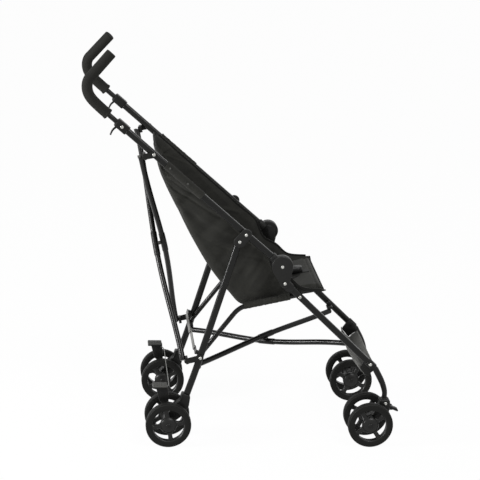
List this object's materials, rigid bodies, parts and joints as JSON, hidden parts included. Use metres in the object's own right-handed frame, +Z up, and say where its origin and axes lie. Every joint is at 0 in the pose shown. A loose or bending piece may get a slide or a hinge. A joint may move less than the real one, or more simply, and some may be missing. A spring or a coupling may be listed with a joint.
{
  "type": "pushchair",
  "caption": "Umbrella-fold pushchair with a slung cloth seat, crossed folding frame, swivelling front wheels and foot-braked rear wheels.",
  "frame": {"origin": "the middle of the bounding box's base, on the floor between the wheels", "axes": "+X forward, the way the seat faces; +Y to the pushchair's left; +Z up"},
  "size_m": [0.848, 0.483, 1.0408],
  "materials": {
    "frame": "satin black powder coat",
    "grip": "matt black foam",
    "plastic": "moulded black",
    "bracket": "moulded dark grey, satin",
    "steel": "bright zinc",
    "pedal": "ribbed grey tread",
    "wheel": "moulded black with a foam tread",
    "cloth": "charcoal plain weave",
    "pad": "charcoal quilted weave",
    "footrest": "mid grey coated cloth",
    "strap": "black webbing"
  },
  "bodies": {
    "seat": {"seat_hammock": "cloth", "seat_pad": "pad", "harness": "strap", "buckle": "plastic", "footrest": "footrest", "brake_wire": "steel"},
    "button": {"buckle_button": "bracket"},
    "push_left": {"push_tube_left": "frame", "grip_left": "grip", "connector_left": "plastic", "hub_left": "bracket"},
    "link_left": {"link_plate_left": "bracket"},
    "rear_leg_left": {"rear_tube_left": "frame", "rear_housing_left": "plastic", "rear_axle_left": "steel"},
    "brake_left": {"brake_pedal_left": "pedal"},
    "spreader_left": {"spreader_bar_left": "steel"},
    "brace_foot_left": {"brace_foot_bracket_left": "plastic"},
    "lower_foot_left": {"lower_rear_clip_left": "plastic"},
    "front_leg_left": {"front_tube_left": "frame", "leg_end_left": "frame"},
    "seat_rail_left": {"seat_tube_left": "frame"},
    "lower_head_left": {"lower_front_clip_left": "plastic"},
    "lower_arm_left": {"lower_tube_left": "frame"},
    "brace_head_left": {"brace_head_bracket_left": "plastic"},
    "brace_arm_left": {"brace_tube_left": "frame"},
    "caster_left": {"caster_block_left": "plastic", "front_axle_left": "steel"},
    "swivel_lock_left": {"swivel_lever_left": "plastic"},
    "rear_inner_spin_left": {"rear_wheel_left_inner": "wheel"},
    "rear_outer_spin_left": {"rear_wheel_left_outer": "wheel"},
    "front_inner_spin_left": {"front_wheel_left_inner": "wheel"},
    "front_outer_spin_left": {"front_wheel_left_outer": "wheel"},
    "push_right": {"push_tube_right": "frame", "grip_right": "grip", "connector_right": "plastic", "hub_right": "bracket"},
    "link_right": {"link_plate_right": "bracket"},
    "rear_leg_right": {"rear_tube_right": "frame", "rear_housing_right": "plastic", "rear_axle_right": "steel"},
    "brake_right": {"brake_pedal_right": "pedal"},
    "spreader_right": {"spreader_bar_right": "steel"},
    "brace_foot_right": {"brace_foot_bracket_right": "plastic"},
    "lower_foot_right": {"lower_rear_clip_right": "plastic"},
    "front_leg_right": {"front_tube_right": "frame", "leg_end_right": "frame"},
    "seat_rail_right": {"seat_tube_right": "frame"},
    "lower_head_right": {"lower_front_clip_right": "plastic"},
    "lower_arm_right": {"lower_tube_right": "frame"},
    "brace_head_right": {"brace_head_bracket_right": "plastic"},
    "brace_arm_right": {"brace_tube_right": "frame"},
    "caster_right": {"caster_block_right": "plastic", "front_axle_right": "steel"},
    "swivel_lock_right": {"swivel_lever_right": "plastic"},
    "rear_inner_spin_right": {"rear_wheel_right_inner": "wheel"},
    "rear_outer_spin_right": {"rear_wheel_right_outer": "wheel"},
    "front_inner_spin_right": {"front_wheel_right_inner": "wheel"},
    "front_outer_spin_right": {"front_wheel_right_outer": "wheel"}
  },
  "joints": [
    {"name": "fold", "type": "hinge", "parent": "link_right", "child": "rear_leg_right", "pos_m": [-0.01539, -0.1835, 0.54957], "axis": [0, -1, 0], "range_deg": [0, 41.25], "deforming": ["seat_hammock", "seat_pad", "harness", "buckle", "buckle_button", "footrest", "brake_wire"]},
    {"name": "width_right", "type": "slide", "parent": "seat", "child": "push_right", "axis": [0, 1, 0], "range_m": [0, 0.1235]},
    {"name": "link_right", "type": "hinge", "parent": "push_right", "child": "link_right", "pos_m": [0.00076, -0.1835, 0.56838], "axis": [0, -1, 0], "range_deg": [0, 12.75]},
    {"name": "front_leg_right", "type": "hinge", "parent": "push_right", "child": "front_leg_right", "pos_m": [0.09788, -0.1835, 0.485], "axis": [0, -1, 0], "range_deg": [0, 139.61]},
    {"name": "seat_rail_right", "type": "hinge", "parent": "front_leg_right", "child": "seat_rail_right", "pos_m": [0.14773, -0.1835, 0.40042], "axis": [0, 1, 0], "range_deg": [0, 68.48]},
    {"name": "brace_head_right", "type": "hinge", "parent": "push_right", "child": "brace_head_right", "pos_m": [-0.24126, -0.1835, 0.77619], "axis": [0, -1, 0], "range_deg": [0, 27.61]},
    {"name": "brace_arm_right", "type": "hinge", "parent": "brace_head_right", "child": "brace_arm_right", "pos_m": [-0.27401, -0.178, 0.76824], "axis": [-0.9718, 0, -0.2359], "range_deg": [0, 23.01]},
    {"name": "brace_foot_right", "type": "hinge", "parent": "rear_leg_right", "child": "brace_foot_right", "pos_m": [-0.10932, -0.1835, 0.23279], "axis": [0, 1, 0], "range_deg": [0, 26.39]},
    {"name": "lower_head_right", "type": "hinge", "parent": "front_leg_right", "child": "lower_head_right", "pos_m": [0.2759, -0.1835, 0.27922], "axis": [0, 1, 0], "range_deg": [0, 46.69]},
    {"name": "lower_arm_right", "type": "hinge", "parent": "lower_head_right", "child": "lower_arm_right", "pos_m": [0.2759, -0.155, 0.27922], "axis": [-0.1622, 0, 0.9868], "range_deg": [0, 30.88]},
    {"name": "lower_foot_right", "type": "hinge", "parent": "rear_leg_right", "child": "lower_foot_right", "pos_m": [-0.11458, -0.1835, 0.21505], "axis": [0, -1, 0], "range_deg": [0, 38.92]},
    {"name": "spreader_right", "type": "hinge", "parent": "rear_leg_right", "child": "spreader_right", "pos_m": [-0.12551, -0.15, 0.24854], "axis": [0.9587, 0, -0.2843], "range_deg": [0, 79.82]},
    {"name": "brake_right", "type": "hinge", "parent": "rear_leg_right", "child": "brake_right", "pos_m": [-0.19512, -0.1835, 0.1], "axis": [0, -1, 0], "range_deg": [0, 16]},
    {"name": "caster_swivel_right", "type": "hinge", "parent": "front_leg_right", "child": "caster_right", "pos_m": [0.38588, -0.1835, 0.119], "axis": [0, 0, 1], "continuous": true},
    {"name": "swivel_lock_right", "type": "hinge", "parent": "caster_right", "child": "swivel_lock_right", "pos_m": [0.40588, -0.1835, 0.095], "axis": [0, -1, 0], "range_deg": [0, 25]},
    {"name": "rear_inner_spin_right", "type": "hinge", "parent": "rear_leg_right", "child": "rear_inner_spin_right", "pos_m": [-0.19112, -0.139, 0.06], "axis": [0, 1, 0], "continuous": true},
    {"name": "rear_outer_spin_right", "type": "hinge", "parent": "rear_leg_right", "child": "rear_outer_spin_right", "pos_m": [-0.19112, -0.228, 0.06], "axis": [0, 1, 0], "continuous": true},
    {"name": "front_inner_spin_right", "type": "hinge", "parent": "caster_right", "child": "front_inner_spin_right", "pos_m": [0.34488, -0.139, 0.06], "axis": [0, 1, 0], "continuous": true},
    {"name": "front_outer_spin_right", "type": "hinge", "parent": "caster_right", "child": "front_outer_spin_right", "pos_m": [0.34488, -0.228, 0.06], "axis": [0, 1, 0], "continuous": true},
    {"name": "width_left", "type": "slide", "parent": "seat", "child": "push_left", "axis": [0, -1, 0], "range_m": [0, 0.1235]},
    {"name": "link_left", "type": "hinge", "parent": "push_left", "child": "link_left", "pos_m": [0.00076, 0.1835, 0.56838], "axis": [0, -1, 0], "range_deg": [0, 12.75]},
    {"name": "rear_leg_left", "type": "hinge", "parent": "link_left", "child": "rear_leg_left", "pos_m": [-0.01539, 0.1835, 0.54957], "axis": [0, -1, 0], "range_deg": [0, 41.25]},
    {"name": "front_leg_left", "type": "hinge", "parent": "push_left", "child": "front_leg_left", "pos_m": [0.09788, 0.1835, 0.485], "axis": [0, -1, 0], "range_deg": [0, 139.61]},
    {"name": "seat_rail_left", "type": "hinge", "parent": "front_leg_left", "child": "seat_rail_left", "pos_m": [0.14773, 0.1835, 0.40042], "axis": [0, 1, 0], "range_deg": [0, 68.48]},
    {"name": "brace_head_left", "type": "hinge", "parent": "push_left", "child": "brace_head_left", "pos_m": [-0.24126, 0.1835, 0.77619], "axis": [0, -1, 0], "range_deg": [0, 27.61]},
    {"name": "brace_arm_left", "type": "hinge", "parent": "brace_head_left", "child": "brace_arm_left", "pos_m": [-0.27401, 0.178, 0.76824], "axis": [0.9718, 0, 0.2359], "range_deg": [0, 23.01]},
    {"name": "brace_foot_left", "type": "hinge", "parent": "rear_leg_left", "child": "brace_foot_left", "pos_m": [-0.10932, 0.1835, 0.23279], "axis": [0, 1, 0], "range_deg": [0, 26.39]},
    {"name": "lower_head_left", "type": "hinge", "parent": "front_leg_left", "child": "lower_head_left", "pos_m": [0.2759, 0.1835, 0.27922], "axis": [0, 1, 0], "range_deg": [0, 46.69]},
    {"name": "lower_arm_left", "type": "hinge", "parent": "lower_head_left", "child": "lower_arm_left", "pos_m": [0.2759, 0.155, 0.27922], "axis": [0.1622, 0, -0.9868], "range_deg": [0, 30.88]},
    {"name": "lower_foot_left", "type": "hinge", "parent": "rear_leg_left", "child": "lower_foot_left", "pos_m": [-0.11458, 0.1835, 0.21505], "axis": [0, -1, 0], "range_deg": [0, 38.92]},
    {"name": "spreader_left", "type": "hinge", "parent": "rear_leg_left", "child": "spreader_left", "pos_m": [-0.12551, 0.15, 0.24854], "axis": [-0.9587, 0, 0.2843], "range_deg": [0, 79.82]},
    {"name": "brake_left", "type": "hinge", "parent": "rear_leg_left", "child": "brake_left", "pos_m": [-0.19512, 0.1835, 0.1], "axis": [0, -1, 0], "range_deg": [0, 16]},
    {"name": "caster_swivel_left", "type": "hinge", "parent": "front_leg_left", "child": "caster_left", "pos_m": [0.38588, 0.1835, 0.119], "axis": [0, 0, 1], "continuous": true},
    {"name": "swivel_lock_left", "type": "hinge", "parent": "caster_left", "child": "swivel_lock_left", "pos_m": [0.40588, 0.1835, 0.095], "axis": [0, -1, 0], "range_deg": [0, 25]},
    {"name": "rear_inner_spin_left", "type": "hinge", "parent": "rear_leg_left", "child": "rear_inner_spin_left", "pos_m": [-0.19112, 0.139, 0.06], "axis": [0, 1, 0], "continuous": true},
    {"name": "rear_outer_spin_left", "type": "hinge", "parent": "rear_leg_left", "child": "rear_outer_spin_left", "pos_m": [-0.19112, 0.228, 0.06], "axis": [0, 1, 0], "continuous": true},
    {"name": "front_inner_spin_left", "type": "hinge", "parent": "caster_left", "child": "front_inner_spin_left", "pos_m": [0.34488, 0.139, 0.06], "axis": [0, 1, 0], "continuous": true},
    {"name": "front_outer_spin_left", "type": "hinge", "parent": "caster_left", "child": "front_outer_spin_left", "pos_m": [0.34488, 0.228, 0.06], "axis": [0, 1, 0], "continuous": true},
    {"name": "buckle_press", "type": "slide", "parent": "seat", "child": "button", "axis": [0.2006, 0, -0.9797], "range_m": [0, 0.002], "stiffness_N_per_m": 300, "springref_m": -0.001}
  ],
  "couplings": [
    {"joint": "width_right", "follows": "fold", "m_per_rad": 0.17154},
    {"joint": "link_right", "follows": "fold", "ratio": 0.30909},
    {"joint": "front_leg_right", "follows": "fold", "ratio": 3.3845},
    {"joint": "seat_rail_right", "follows": "fold", "ratio": 1.6601},
    {"joint": "brace_head_right", "follows": "fold", "ratio": 0.66933},
    {"joint": "brace_arm_right", "follows": "fold", "ratio": 0.55782},
    {"joint": "brace_foot_right", "follows": "fold", "ratio": 0.63976},
    {"joint": "lower_head_right", "follows": "fold", "ratio": 1.1319},
    {"joint": "lower_arm_right", "follows": "fold", "ratio": 0.74861},
    {"joint": "lower_foot_right", "follows": "fold", "ratio": 0.94351},
    {"joint": "spreader_right", "follows": "fold", "ratio": 1.935},
    {"joint": "width_left", "follows": "fold", "m_per_rad": 0.17154},
    {"joint": "link_left", "follows": "fold", "ratio": 0.30909},
    {"joint": "rear_leg_left", "follows": "fold", "ratio": 1},
    {"joint": "front_leg_left", "follows": "fold", "ratio": 3.3845},
    {"joint": "seat_rail_left", "follows": "fold", "ratio": 1.6601},
    {"joint": "brace_head_left", "follows": "fold", "ratio": 0.66933},
    {"joint": "brace_arm_left", "follows": "fold", "ratio": 0.55782},
    {"joint": "brace_foot_left", "follows": "fold", "ratio": 0.63976},
    {"joint": "lower_head_left", "follows": "fold", "ratio": 1.1319},
    {"joint": "lower_arm_left", "follows": "fold", "ratio": 0.74861},
    {"joint": "lower_foot_left", "follows": "fold", "ratio": 0.94351},
    {"joint": "spreader_left", "follows": "fold", "ratio": 1.935},
    {"joint": "brake_left", "follows": "brake_right", "ratio": 1}
  ]
}
